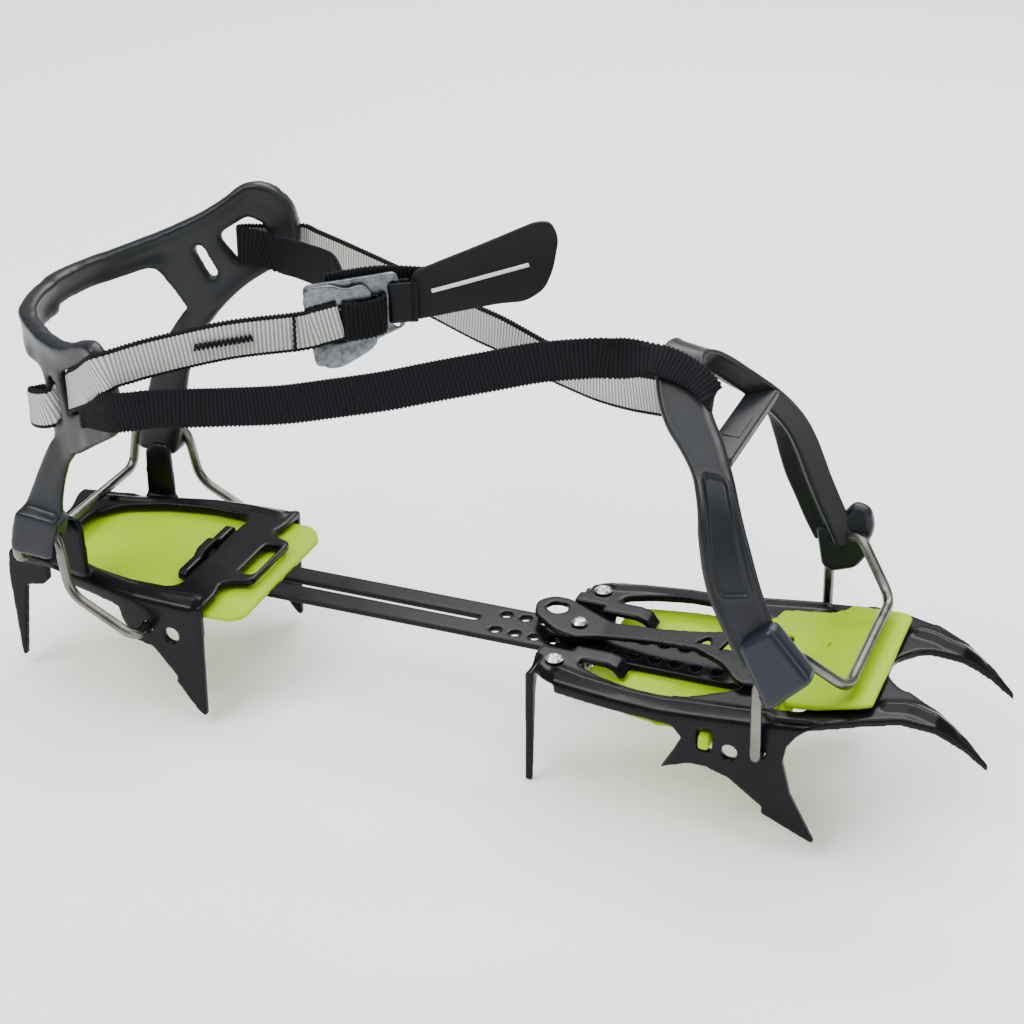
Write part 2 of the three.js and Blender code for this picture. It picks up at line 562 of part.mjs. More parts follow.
const crampon = new THREE.Group();
crampon.add(
  toMesh('front_frame', buildFrontFrame(), coatedSteel()),
  toMesh('front_antiball_plate', buildFrontPlate(), limePlastic()),
  toMesh('front_screw_left', buildFrameScrew(27.4), brightSteel()),
  toMesh('front_screw_right', buildFrameScrew(-27.4), brightSteel()),
  toMesh('lock_blade', buildLockBlade(), coatedSteel()),
  toMesh('lock_pin', buildLockPin(), zincSteel()),
  toMesh('pin_washer', buildPinWasher(), zincSteel()),
  toMesh('blade_rivet_left', buildBladeRivet(BLADE_RIVETS[0]), zincSteel()),
  toMesh('blade_rivet_right', buildBladeRivet(BLADE_RIVETS[1]), zincSteel()),
  toMesh('linking_bar', buildLinkingBar(), coatedSteel()),
  toMesh('heel_frame', buildHeelFrame(), coatedSteel()),
  toMesh('heel_antiball_plate', buildHeelPlate(), limePlastic()),
  toMesh('toe_bail', bail(TOE_WIRE, WIRE_RADIUS, 56), brightSteel()),
  toMesh('heel_bail', bail(HEEL_WIRE, WIRE_RADIUS, 64), brightSteel()),
  toMesh('toe_basket', buildToeBasket(), slatePlastic()),
  toMesh('heel_basket', buildHeelBasket(), slatePlastic()),
  toMesh('strap_right_run', buildNearStrap(), blackWeb()),
  toMesh('strap_left_run', buildFarStrap(), greyWeb()),
  toMesh('ankle_strap_sewn', buildAnkleStrapNear(), greyWeb()),
  toMesh('ankle_strap_free', buildAnkleStrapFar(), blackWeb()),
  toMesh('buckle_frame', buildBuckleFrame(), zincSteel()),
  toMesh('buckle_clamp', buildBuckleClamp(), zincSteel()),
  toMesh('pull_tab', buildPullTab(), blackWeb()),
);

// The origin is the middle of the underside of the bounding box.
const box = new THREE.Box3().setFromObject(crampon);
const middle = box.getCenter(new THREE.Vector3());
crampon.position.set(-middle.x, -middle.y, -box.min.z);

export default crampon;
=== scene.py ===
"""Looks of a strap-on crampon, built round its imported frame.

Lengths are in millimetres in the part's working frame: X = 0 at the lock rivet and forward to the toe,
Y = 0 on the centre line and positive to the left side, Z = 0 at the sole of the boot.
"""

import json
import math

import bpy
import numpy as np
from mathutils import Matrix, Vector

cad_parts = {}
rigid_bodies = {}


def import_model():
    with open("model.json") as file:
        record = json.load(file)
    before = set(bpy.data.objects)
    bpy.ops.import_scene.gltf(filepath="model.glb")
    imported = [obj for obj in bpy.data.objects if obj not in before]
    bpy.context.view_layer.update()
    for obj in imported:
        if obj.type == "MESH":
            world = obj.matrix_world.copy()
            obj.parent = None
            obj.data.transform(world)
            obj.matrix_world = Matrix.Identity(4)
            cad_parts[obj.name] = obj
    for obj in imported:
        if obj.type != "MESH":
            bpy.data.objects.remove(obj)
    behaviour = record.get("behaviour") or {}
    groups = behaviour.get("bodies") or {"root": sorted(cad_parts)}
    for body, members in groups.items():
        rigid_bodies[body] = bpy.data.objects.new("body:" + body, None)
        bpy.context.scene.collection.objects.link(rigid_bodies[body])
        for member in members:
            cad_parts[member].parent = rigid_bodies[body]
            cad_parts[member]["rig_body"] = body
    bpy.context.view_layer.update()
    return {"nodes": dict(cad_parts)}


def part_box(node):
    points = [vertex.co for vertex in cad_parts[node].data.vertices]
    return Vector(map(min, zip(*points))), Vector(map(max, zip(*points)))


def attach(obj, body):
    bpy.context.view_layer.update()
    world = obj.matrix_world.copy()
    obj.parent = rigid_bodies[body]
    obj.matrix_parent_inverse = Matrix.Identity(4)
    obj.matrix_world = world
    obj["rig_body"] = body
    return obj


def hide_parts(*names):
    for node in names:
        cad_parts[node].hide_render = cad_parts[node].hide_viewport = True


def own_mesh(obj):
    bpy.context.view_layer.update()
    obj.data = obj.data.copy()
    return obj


MM = 0.001
PIN_LOW = -4.9  # level of the underside of the lock pin

# ---- camera ---------------------------------------------------------------------------------
EYE = (242.82, -697.38, 432.33)
AZIMUTH = 21.18
ELEVATION = 27.5
LENS = 79.45

# ---- webbing --------------------------------------------------------------------------------
WEB_WIDTH = 15.0
WEB_THICK = 1.5
RIB_PITCH = 1.5
RIB_HEIGHT = 0.3
TOOTH = 0.6  # depth of the scalloped strap edges
UV_SCALE = 0.01  # UV units per millimetre of strap
HIDDEN_END = 10.0  # length of each run that lies inside the wrap and slides out as the bails tilt
HIDDEN_THICK = 0.7
HIDDEN_NARROWER = 1.6

# ---- outlines shared by the bends of the frames -------------------------------------------------
FRONT_EDGE = [(-8.5, 27), (-6.2, 32.5), (-2.5, 36.8), (3.5, 39.8), (12, 41.2), (28, 43.4), (56, 45.2),
              (80, 46), (106, 45.6)]
FRONT_TOP = [(-12, 0), (45, 0), (96, 5.3), (118, 8), (130, 8.5), (141, 5.5), (152, -1.5), (162, -11)]
HEEL_EDGE = [(-232, 30), (-217, 31.2), (-205, 34.4), (-193, 37.8), (-180, 41.2), (-168, 43.2),
             (-150, 44), (-138, 44)]
HEEL_TOP = [(-232, 2), (-129, 2)]
COVER_REACH = 20.0  # how far the cover runs to the right in front of the lock blade

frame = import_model()


def working_origin():
    low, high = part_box("lock_pin")
    return np.array([(low.x + high.x) / 2 / MM, (low.y + high.y) / 2 / MM, low.z / MM - PIN_LOW])


ORIGIN = working_origin()


def to_world(points):
    return (np.asarray(points, float).reshape(-1, 3) + ORIGIN) * MM


def to_working(points):
    return np.asarray(points, float).reshape(-1, 3) / MM - ORIGIN


# ---- node materials -------------------------------------------------------------------------
def linear(hex_color):
    channels = [int(hex_color[i:i + 2], 16) / 255 for i in (0, 2, 4)]
    return [c / 12.92 if c <= 0.04045 else ((c + 0.055) / 1.055) ** 2.4 for c in channels] + [1.0]


class Nodes:
    """Small helper that adds shader nodes and joins them up."""

    def __init__(self, name):
        self.material = bpy.data.materials.new(name)
        self.material.use_nodes = True
        self.tree = self.material.node_tree
        self.shader = self.tree.nodes["Principled BSDF"]

    def add(self, kind, **values):
        node = self.tree.nodes.new(kind)
        for key, value in values.items():
            setattr(node, key, value)
        return node

    def join(self, source, target):
        self.tree.links.new(source, target)

    def value(self, target, value):
        if isinstance(value, (int, float)):
            target.default_value = value
        else:
            self.join(value, target)

    def math(self, operation, first, second=0.0, clamp=False):
        node = self.add("ShaderNodeMath", operation=operation, use_clamp=clamp)
        self.value(node.inputs[0], first)
        self.value(node.inputs[1], second)
        return node.outputs[0]

    def noise(self, scale, detail=3.0, stretch=(1, 1, 1)):
        place = self.add("ShaderNodeTexCoord")
        mapping = self.add("ShaderNodeMapping")
        mapping.inputs["Scale"].default_value = stretch
        noise = self.add("ShaderNodeTexNoise")
        noise.inputs["Scale"].default_value = scale
        noise.inputs["Detail"].default_value = detail
        self.join(place.outputs["Object"], mapping.inputs["Vector"])
        self.join(mapping.outputs["Vector"], noise.inputs["Vector"])
        return noise.outputs["Fac"]

    def mix(self, factor, first, second):
        node = self.add("ShaderNodeMix", data_type="RGBA")
        self.value(node.inputs["Factor"], factor)
        for socket, color in ((node.inputs[6], first), (node.inputs[7], second)):
            if isinstance(color, list):
                socket.default_value = color
            else:
                self.join(color, socket)
        return node.outputs[2]

    def spread(self, source, low, high):
        node = self.add("ShaderNodeMapRange")
        self.join(source, node.inputs["Value"])
        node.inputs["From Min"].default_value = 0.25
        node.inputs["From Max"].default_value = 0.75
        node.inputs["To Min"].default_value = low
        node.inputs["To Max"].default_value = high
        return node.outputs["Result"]

    def bump(self, height, strength, distance):
        node = self.add("ShaderNodeBump")
        node.inputs["Strength"].default_value = strength
        node.inputs["Distance"].default_value = distance * MM
        self.value(node.inputs["Height"], height)
        self.join(node.outputs["Normal"], self.shader.inputs["Normal"])

    def edge_wear(self, amount):
        geometry = self.add("ShaderNodeNewGeometry")
        node = self.add("ShaderNodeMapRange")
        self.join(geometry.outputs["Pointiness"], node.inputs["Value"])
        node.inputs["From Min"].default_value = 0.53
        node.inputs["From Max"].default_value = 0.62
        patches = self.spread(self.noise(260.0), 0.2, amount)
        return self.math("MULTIPLY", node.outputs["Result"], patches, clamp=True)


def coated_steel_material():
    n = Nodes("coated_steel")
    cloudy = n.noise(70.0, 4.0)
    grain = n.noise(2600.0, 2.0)
    base = n.mix(n.spread(cloudy, 0.0, 1.0), linear("050608"), linear("0c0e11"))
    color = n.mix(n.edge_wear(0.3), base, linear("33383d"))
    n.join(color, n.shader.inputs["Base Color"])
    n.shader.inputs["Metallic"].default_value = 0.0
    n.join(n.spread(cloudy, 0.2, 0.3), n.shader.inputs["Roughness"])
    n.shader.inputs["Specular IOR Level"].default_value = 0.14
    n.bump(grain, 0.1, 0.1)
    return n.material


def moulded_material(name, dark, light, roughness, grain_height, shine=0.25):
    """Moulded plastic: slow colour drift, fine texture and satin roughness."""
    n = Nodes(name)
    slow = n.noise(28.0, 3.0)
    fine = n.noise(1700.0, 2.0)
    n.join(n.mix(n.spread(slow, 0.0, 1.0), linear(dark), linear(light)), n.shader.inputs["Base Color"])
    n.join(n.spread(n.noise(90.0), roughness - 0.05, roughness + 0.07), n.shader.inputs["Roughness"])
    n.shader.inputs["Specular IOR Level"].default_value = shine
    n.bump(fine, 0.15, grain_height)
    return n.material


def metal_material(name, dark, light, roughness, stretch=(1, 1, 1), mottle=300.0):
    n = Nodes(name)
    patches = n.noise(mottle, 4.0, stretch)
    n.join(n.mix(n.spread(patches, 0.0, 1.0), linear(dark), linear(light)), n.shader.inputs["Base Color"])
    n.shader.inputs["Metallic"].default_value = 1.0
    n.join(n.spread(patches, roughness - 0.06, roughness + 0.1), n.shader.inputs["Roughness"])
    n.bump(n.noise(mottle * 4, 3.0, stretch), 0.05, 0.06)
    return n.material


def webbing_material(name, dark, light, border=0.0):
    """Woven strap: ribs across it with painted shade between them and painted highlight on them, threads
    along it, and a black selvedge when a border is given.
    """
    n = Nodes(name)
    uv = n.add("ShaderNodeUVMap", uv_map="weave")
    parts = n.add("ShaderNodeSeparateXYZ")
    n.join(uv.outputs["UV"], parts.inputs["Vector"])
    turns = 2 * math.pi / (RIB_PITCH * UV_SCALE)
    rib = n.math("COSINE", n.math("MULTIPLY", parts.outputs["X"], turns))
    rib = n.math("MULTIPLY_ADD", rib, 0.5)
    rib.node.inputs[2].default_value = 0.5
    thread = n.math("SINE", n.math("MULTIPLY", parts.outputs["Y"], 2 * math.pi * 24))
    fuzz = n.spread(n.noise(3000.0, 2.0), 0.0, 1.0)
    # Colour: the rib wave paints the grooves darker and the rib crests lighter, a painted shade and
    # painted highlight; the fuzz noise adds random tone.
    tone = n.math("ADD", n.math("MULTIPLY", rib, 0.7), n.math("MULTIPLY", fuzz, 0.3), clamp=True)
    color = n.mix(tone, linear(dark), linear(light))
    if border:
        side = n.math("ABSOLUTE", n.math("SUBTRACT", parts.outputs["Y"], 0.5))
        wobble = n.math("MULTIPLY", rib, 0.012)
        outside = n.math("GREATER_THAN", n.math("ADD", side, wobble), 0.5 - border / WEB_WIDTH)
        color = n.mix(outside, color, linear("0e0f12"))
    n.join(color, n.shader.inputs["Base Color"])
    n.join(n.spread(n.noise(900.0), 0.62, 0.85), n.shader.inputs["Roughness"])
    n.shader.inputs["Specular IOR Level"].default_value = 0.12
    coarse = n.math("ADD", rib, n.math("MULTIPLY", fuzz, 0.4))
    height = n.math("ADD", n.math("MULTIPLY", thread, 0.25), coarse)
    n.bump(height, 0.4, 0.15)
    return n.material


def make_materials():
    return {
        "coated_steel": coated_steel_material(),
        "basket_plastic": moulded_material("basket_plastic", "111316", "1c1f23", 0.34, 0.02, 0.24),
        "basket_cap": moulded_material("basket_cap", "0f111b", "191b28", 0.34, 0.02, 0.28),
        "snow_plate": moulded_material("snow_plate", "8bb000", "99bf00", 0.42, 0.08, 0.08),
        "tab_black": moulded_material("tab_black", "07080a", "101316", 0.5, 0.6, 0.2),
        "wire_steel": metal_material("wire_steel", "575550", "7d7a75", 0.28, (1, 1, 1), 120.0),
        "buckle_steel": metal_material("buckle_steel", "43474d", "878b90", 0.3, (1, 1, 1), 420.0),
        "fastener_steel": metal_material("fastener_steel", "8b8c8c", "c4c4c0", 0.3, (1, 1, 1), 700.0),
        # The dark and light colours of each webbing are its painted groove shade and painted rib
        # highlight.
        "strap_black": webbing_material("strap_black", "000001", "15171b"),
        "strap_grey": webbing_material("strap_grey", "62615e", "d0cfcc", 1.3),
        "thread_black": moulded_material("thread_black", "050607", "131416", 0.7, 0.4, 0.15),
        "print_pale": moulded_material("print_pale", "c9ccd0", "e4e6e8", 0.5, 0.1),
    }


MATERIALS = make_materials()


# ---- mesh helpers ---------------------------------------------------------------------------
def mesh_object(name, points, faces, material, smooth=True):
    mesh = bpy.data.meshes.new(name)
    mesh.from_pydata(to_world(points).tolist(), [], faces)
    mesh.polygons.foreach_set("use_smooth", [smooth] * len(mesh.polygons))
    mesh.materials.append(MATERIALS[material])
    mesh.update()
    piece = bpy.data.objects.new(name, mesh)
    bpy.context.scene.collection.objects.link(piece)
    return piece


def place(piece, body, finish, *nodes):
    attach(piece, body)
    if nodes:
        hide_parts(*nodes)
    return piece


def relax(points, edges, passes):
    count = np.bincount(edges.ravel(), minlength=len(points)).astype(float)
    for _ in range(passes):
        for axis in range(3):
            near = np.bincount(edges[:, 0], points[edges[:, 1], axis], len(points))
            near += np.bincount(edges[:, 1], points[edges[:, 0], axis], len(points))
            points[:, axis] += 0.5 * (near / count - points[:, axis])
    return points


def fine_skin(node, voxel, passes, finish, edit=None, material=None):
    """Fine, softened copy of a CAD node, with its edges rounded and its pressed detail added."""
    source = frame["nodes"][node]
    work = bpy.data.objects.new(node + "_skin", source.data.copy())
    bpy.context.scene.collection.objects.link(work)
    work.modifiers.new("join", "WELD")
    remesh = work.modifiers.new("fine", "REMESH")
    remesh.mode = "VOXEL"
    remesh.voxel_size = voxel * MM
    graph = bpy.context.evaluated_depsgraph_get()
    mesh = bpy.data.meshes.new_from_object(work.evaluated_get(graph))
    work.modifiers.clear()
    work.data = mesh
    raw = np.zeros(len(mesh.vertices) * 3)
    mesh.vertices.foreach_get("co", raw)
    points = to_working(raw)
    if edit:
        points = edit(points)
    pairs = np.zeros(len(mesh.edges) * 2, int)
    mesh.edges.foreach_get("vertices", pairs)
    points = relax(points, pairs.reshape(-1, 2), passes)
    mesh.vertices.foreach_set("co", to_world(points).ravel())
    mesh.polygons.foreach_set("use_smooth", [True] * len(mesh.polygons))
    mesh.materials.clear()
    mesh.materials.append(MATERIALS[material or finish])
    mesh.update()
    return place(work, source["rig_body"], finish, node)


def catmull(points, step):
    """Points at an even step along a smooth line through the given rows; only x, y, z set the spacing."""
    rows = np.asarray(points, float)
    rows = np.vstack([2 * rows[0] - rows[1], rows, 2 * rows[-1] - rows[-2]])
    dense = []
    for a, b, c, d in zip(rows, rows[1:], rows[2:], rows[3:]):
        t = np.linspace(0, 1, 40, endpoint=False)[:, None]
        dense.append(0.5 * (2 * b + (c - a) * t + (2 * a - 5 * b + 4 * c - d) * t ** 2
                            + (3 * b - a - 3 * c + d) * t ** 3))
    dense = np.vstack(dense + [rows[-2:-1]])
    along = np.r_[0, np.cumsum(np.linalg.norm(np.diff(dense[:, :3], axis=0), axis=1))]
    marks = np.linspace(0, along[-1], max(2, int(round(along[-1] / step)) + 1))
    return np.column_stack([np.interp(marks, along, dense[:, k]) for k in range(dense.shape[1])])


def bent_line(corners, bend, step):
    """Straight lines through the corners, joined by bends."""
    corners = np.asarray(corners, float)
    path = [corners[0]]
    for before, here, after in zip(corners, corners[1:], corners[2:]):
        back, ahead = before - here, after - here
        cut = min(bend, np.linalg.norm(back) * 0.45, np.linalg.norm(ahead) * 0.45)
        start = here + back / np.linalg.norm(back) * cut
        end = here + ahead / np.linalg.norm(ahead) * cut
        for t in np.linspace(0, 1, 9):
            path.append((1 - t) ** 2 * start + 2 * t * (1 - t) * here + t * t * end)
    path.append(corners[-1])
    path = np.array(path)
    along = np.r_[0, np.cumsum(np.linalg.norm(np.diff(path, axis=0), axis=1))]
    marks = np.linspace(0, along[-1], int(along[-1] / step) + 1)
    return np.column_stack([np.interp(marks, along, path[:, k]) for k in range(3)])


def unit(vectors):
    return vectors / np.linalg.norm(vectors, axis=-1, keepdims=True)


def tube(name, path, radius, material, sides=14):
    """Round wire along a path with softened ends."""
    path = np.asarray(path, float)
    tangents = unit(np.gradient(path, axis=0))
    side = np.cross(tangents[0], (0.3, 0.2, 0.9))
    rings = []
    swell = np.ones(len(path))
    swell[[0, -1]] = 0.6
    for spot, ahead, scale in zip(path, tangents, swell):
        side = unit(side - ahead * (side @ ahead))
        up = np.cross(ahead, side)
        turns = np.linspace(0, 2 * math.pi, sides, endpoint=False)[:, None]
        rings.append(spot + radius * scale * (np.cos(turns) * side + np.sin(turns) * up))
    return mesh_object(name, np.vstack(rings), grid_faces(len(path), sides), material)


def grid_faces(rings, sides):
    """Quads of a closed section swept along rings, with both ends capped."""
    faces = []
    for i in range(rings - 1):
        for k in range(sides):
            nxt = (k + 1) % sides
            faces.append((i * sides + k, i * sides + nxt, (i + 1) * sides + nxt, (i + 1) * sides + k))
    faces.append(tuple(range(sides))[::-1])
    faces.append(tuple((rings - 1) * sides + k for k in range(sides)))
    return faces


# ---- frames ---------------------------------------------------------------------------------
def lookup(x, line):
    xs, ys = zip(*line)
    return np.interp(x, xs, ys)


def round_bend(points, outline, top, radius, start, end):
    """Turns the sharp fold between the sheet and its side flanges into a round bend."""
    x, y, z = points.T
    inside = lookup(x, outline) - np.abs(y)
    below = lookup(x, top) - z
    reach = np.hypot(radius - inside, radius - below)
    moved = (inside < radius) & (inside > -1.0) & (below < radius) & (below > -0.4) & (reach > radius)
    fade = np.clip((x - start) / 4, 0, 1) * np.clip((end - x) / 4, 0, 1)
    share = np.where(moved, radius / np.maximum(reach, 1e-6), 1.0)
    fresh = points.copy()
    width = lookup(x, outline) - radius + (radius - inside) * share
    fresh[:, 1] = np.where(moved, np.sign(y) * width, y)
    fresh[:, 2] = np.where(moved, lookup(x, top) - radius + (radius - below) * share, z)
    return points + (fresh - points) * fade[:, None]


def emboss(points, line, half_width, height, top):
    """Presses a raised rib into the sheet along a line, on both sides of the part."""
    line = np.asarray(line, float)
    flat = np.column_stack([points[:, 0], np.abs(points[:, 1])])
    nearest = np.full(len(points), 1e9)
    for a, b in zip(line, line[1:]):
        t = np.clip(((flat - a) @ (b - a)) / ((b - a) @ (b - a)), 0, 1)
        nearest = np.minimum(nearest, np.linalg.norm(flat - a - t[:, None] * (b - a), axis=1))
    share = np.clip(1 - nearest / half_width, 0, 1)
    below = lookup(points[:, 0], top) - points[:, 2]
    sheet = np.clip(1 - (below - 3.4) / 1.5, 0, 1)
    fresh = points.copy()
    fresh[:, 2] += height * share * share * (3 - 2 * share) * sheet
    return fresh


def edit_front_frame(points):
    """Round side bends, flush rear corners and the two pressed ribs of the toe section."""
    points = round_bend(points, FRONT_EDGE, FRONT_TOP, 4.0, -7.5, 104)
    x, y, z = points.T
    peak = np.clip((-5.5 - x) / 2, 0, 1) * np.clip((np.abs(y) - 25) / 3, 0, 1)
    points[:, 2] -= np.clip(z + 4, 0, 10) * peak
    rib = [(4, 33), (14, 36), (32, 39.2), (56, 40), (84, 41.3)]
    points = emboss(points, rib, 3.4, 1.1, FRONT_TOP)
    return emboss(points, [(124, 27), (134, 24.5), (146, 25)], 4.5, 1.5, FRONT_TOP)


def edit_heel_frame(points):
    points = round_bend(points, HEEL_EDGE, HEEL_TOP, 3.8, -210, -138.5)
    rib = [(-224, 24), (-207, 27.5), (-190, 33), (-174, 37.2), (-158, 38.5), (-144, 37.5)]
    return emboss(points, rib, 3.0, 0.9, HEEL_TOP)


def edit_front_plate(points):
    """A shallow dome and a crease across the tray, and a cover that closes round the lock blade."""
    x, y, z = points.T
    tray = np.clip(1 - (z + 8.4) / 3, 0, 1) * (x < 80)
    lengthwise = np.cos(np.clip((x - 40) / 46, -1, 1) * math.pi / 2)
    dome = 1.4 * lengthwise * np.clip(1 - (np.abs(y) - 26) / 14, 0, 1)
    crease = -0.8 * np.exp(-((x - 48 - 0.1 * y) / 2.5) ** 2)
    fresh = points.copy()
    fresh[:, 2] += tray * (np.clip(dome, 0, 2) + crease) * np.clip((np.abs(y) - 12.5) / 3, 0, 1)
    ahead = np.clip((x - 80.6) / 2, 0, 1) * np.clip((95 - x) / 1.5, 0, 1) * (z > 1.5) * (y > 10)
    fresh[:, 1] -= ahead * np.clip(20 - y, 0, 8) * (COVER_REACH / 8)
    near = np.clip((100 - x) / 4, 0, 1) * np.clip((-y - 22) / 5, 0, 1) * (z > 1.5) * (x > 92)
    fresh[:, 0] -= 5.5 * near
    return fresh


def edit_heel_plate(points):
    x, y, z = points.T
    dome = 1.0 * np.clip(1 - np.hypot((x + 185) / 34, y / 30), 0, 1)
    lip = -1.6 * np.clip((x + 132) / 7, 0, 1)
    fresh = points.copy()
    fresh[:, 2] += dome + lip
    return fresh


def build_frames():
    fine_skin("front_frame", 0.62, 3, "coated_steel", edit_front_frame)
    fine_skin("heel_frame", 0.6, 3, "coated_steel", edit_heel_frame)
    fine_skin("front_antiball_plate", 0.7, 4, "snow_plate", edit_front_plate)
    fine_skin("heel_antiball_plate", 0.7, 3, "snow_plate", edit_heel_plate)
    fine_skin("linking_bar", 0.45, 2, "coated_steel")
    fine_skin("lock_blade", 0.4, 3, "coated_steel")


def build_fasteners():
    for node in ("front_screw_left", "front_screw_right"):
        fine_skin(node, 0.16, 2, "fastener_steel")
    for node in ("lock_pin", "blade_rivet_left", "blade_rivet_right"):
        fine_skin(node, 0.2, 3, "fastener_steel")
    fine_skin("pin_washer", 0.2, 2, "fastener_steel", material="coated_steel")


# ---- bails and baskets ----------------------------------------------------------------------
TOE_WIRE = [(83.3, 42.3, -9.5), (83.3, 51, -9.5), (82.6, 51, 24), (94, 46.8, 34.5), (110.5, 33.4, 15.9)]
HEEL_WIRE = [(-162, 39.4, -11.3), (-162, 52.6, -11.3), (-189.4, 52.6, 3), (-193.7, 51.2, 27),
             (-214.5, 46.5, 27.5), (-216.7, 45.1, 7.5)]


def build_wires():
    for name, half, node in (("toe_wire", TOE_WIRE, "toe_bail"), ("heel_wire", HEEL_WIRE, "heel_bail")):
        other = [(x, -y, z) for x, y, z in half[::-1]]
        piece = tube(name, bent_line(half + other, 6.5, 0.8), 2.0, "wire_steel", 16)
        place(piece, node, "wire_steel", node)


ARCH_FRONT = [(45.5, 0, 118.6), (47.5, 9, 116), (51, 16, 111.5), (55.4, 22.2, 105.8),
              (60.2, 27, 100.4), (64, 31.8, 95.4), (67.8, 36.6, 89.6), (71, 41, 83.6),
              (74, 44.2, 77.3), (77, 46.2, 70.2), (79.7, 47.4, 62.9), (82.5, 48.2, 55.5),
              (86.1, 48.8, 47.4), (90.4, 49.5, 38), (93.5, 50, 31)]
ARCH_REAR = [(30, 0, 121), (30.2, 10, 118.5), (33, 19, 111), (38.5, 26.5, 103), (46, 32, 96.5),
             (52, 37.5, 91), (55.2, 42.3, 85.5), (57.2, 46, 80), (58.4, 48.8, 74), (59.9, 50.6, 67.5),
             (61.6, 51.8, 60.5), (64.2, 52.6, 52.5), (68, 53, 44.5), (72.6, 52.8, 35),
             (76.6, 52.4, 28)]
ARCH_WALL = 3.8
RIM_DEPTH = 7.5  # the front rim is thicker than the wall and bevelled toward the foot
RIM_SETBACK = 5.0
PANEL_TOP = 91.0  # level of the recessed panel on the right leg
PANEL_LOW = 54.0
PANEL_CORNER = 2.4


def arch_section(width):
    """Section of the arch as across and outward offsets: round rear rim, thick bevelled front rim."""
    radius = 1.6
    outer = [(p, 0.0) for p in np.linspace(radius, width - radius, 33)]
    half = ARCH_WALL / 2
    turn = np.linspace(math.pi / 2, -math.pi / 2, 9)[1:-1]
    rear = [(width - radius + radius * math.cos(a), -half + half * math.sin(a)) for a in turn]
    inner = []
    for p in np.linspace(width - radius, RIM_SETBACK + 1.2, 15):
        share = np.clip(1 - (p - RIM_SETBACK - 1) / 4.5, 0, 1)
        inner.append((p, -ARCH_WALL - (RIM_DEPTH - ARCH_WALL) * share * share * (3 - 2 * share)))
    lip = [(RIM_SETBACK + 0.3, -RIM_DEPTH + 0.05), (RIM_SETBACK - 0.5, -RIM_DEPTH + 0.45)]
    face = [(RIM_SETBACK * t, -RIM_DEPTH * t) for t in np.linspace(0.8, 0.25, 6)]
    corner = [(0.55, -1.25), (0.45, -0.7), (0.75, -0.25), (1.15, -0.05)]
    return np.array(outer + rear + inner + lip + face + corner)


def arch_relief(across, width, level, right_side):
    """Height of the moulded relief on the outer face: two rims and the framed panel."""
    rim = 0.35 * np.exp(-((across - 1.8) / 1.1) ** 2) + 0.35 * np.exp(-((width - 1.8 - across) / 1.1) ** 2)
    if not right_side:
        return rim
    side = np.minimum(across - width * 0.24, width * 0.77 - across)
    ends = min(PANEL_TOP - level, level - PANEL_LOW)
    corner = np.hypot(np.maximum(PANEL_CORNER - side, 0), max(PANEL_CORNER - ends, 0))
    inside = np.where(corner > 0, PANEL_CORNER - corner, np.minimum(side, ends))
    ridge = 0.45 * np.exp(-((inside + 0.6) / 0.6) ** 2)
    sunk = -0.75 * np.clip(inside / 0.7, 0, 1)
    return rim + ridge + sunk


def resample(line, marks):
    even = np.linspace(0, 1, len(line))
    return np.column_stack([np.interp(marks, even, line[:, k]) for k in range(3)])


def build_toe_basket():
    def full(half):
        return catmull([(x, -y, z) for x, y, z in half[:0:-1]] + half, 0.75)

    front = full(ARCH_FRONT)
    rear = full(ARCH_REAR)
    count = max(len(front), len(rear))
    spread = np.linspace(0, 1, count)
    front, rear = resample(front, spread), resample(rear, spread)
    ahead = np.gradient(front, axis=0)
    outward = -unit(np.cross(ahead, front - rear))
    rings = []
    for edge, back, normal in zip(front, rear, outward):
        width = np.linalg.norm(back - edge)
        section = arch_section(width)
        middle = (edge + back) / 2
        relief = arch_relief(section[:, 0], width, middle[2], middle[1] < 0)
        height = section[:, 1] + np.where(section[:, 1] > -0.01, relief, 0)
        side = (back - edge) / width
        rings.append(edge + section[:, :1] * side + height[:, None] * normal)
    sides = len(rings[0])
    arch = mesh_object("toe_arch", np.vstack(rings), grid_faces(len(rings), sides), "basket_plastic")
    place(arch, "toe_bail", "basket_plastic", "toe_basket")


def rounded_block(name, outline, low, high, bevel, material, axis="y"):
    """Prism of an outline between two levels along an axis, with its edges well rounded."""
    def corner(a, b, level):
        return (a, level, b) if axis == "y" else (level, a, b)

    count = len(outline)
    points = [corner(a, b, level) for level in (low, high) for a, b in outline]
    faces = [tuple(range(count)), tuple(range(2 * count - 1, count - 1, -1))]
    faces += [(i, i + count, (i + 1) % count + count, (i + 1) % count) for i in range(count)]
    piece = mesh_object(name, points, faces, material)
    edges = piece.modifiers.new("edges", "BEVEL")
    edges.width = bevel * MM
    edges.segments = 4
    piece.modifiers.new("normals", "WEIGHTED_NORMAL")
    return piece


HEEL_PLAN = [(-142, -69), (-157, -62.5), (-172, -56), (-186, -49.3), (-199, -41.5), (-211, -30),
             (-217.5, -15), (-219, 0), (-217.5, 15), (-211, 30), (-199, 42), (-186, 50), (-172, 58.5),
             (-157, 67.5), (-142, 78)]
# Edges of the heel basket that end in a thick rim, as x and z on each side.
LEFT_RIMS = [[(-219, 109.6), (-213, 110), (-197, 115.2), (-181.5, 122.5), (-173, 128.2),
             (-167, 133.8), (-161, 135), (-155, 132), (-149.5, 124.5), (-147.2, 114.5), (-148, 105),
             (-157, 97.4), (-163, 93.8), (-169.4, 88.5), (-175, 82.2)], [(-219, 96.4), (-207, 99),
             (-197.5, 101.8)]]
RIGHT_RIMS = [[(-219, 109.6), (-212, 108.8), (-194, 107.6), (-184.4, 107.4), (-179, 108.8),
              (-173, 111.8), (-168, 114), (-162.5, 114), (-158, 107), (-154.3, 98), (-154, 84),
              (-156, 80), (-167.6, 72.2)], [(-219, 96.4), (-204, 93.5)]]
RIM_SWELL = 1.05
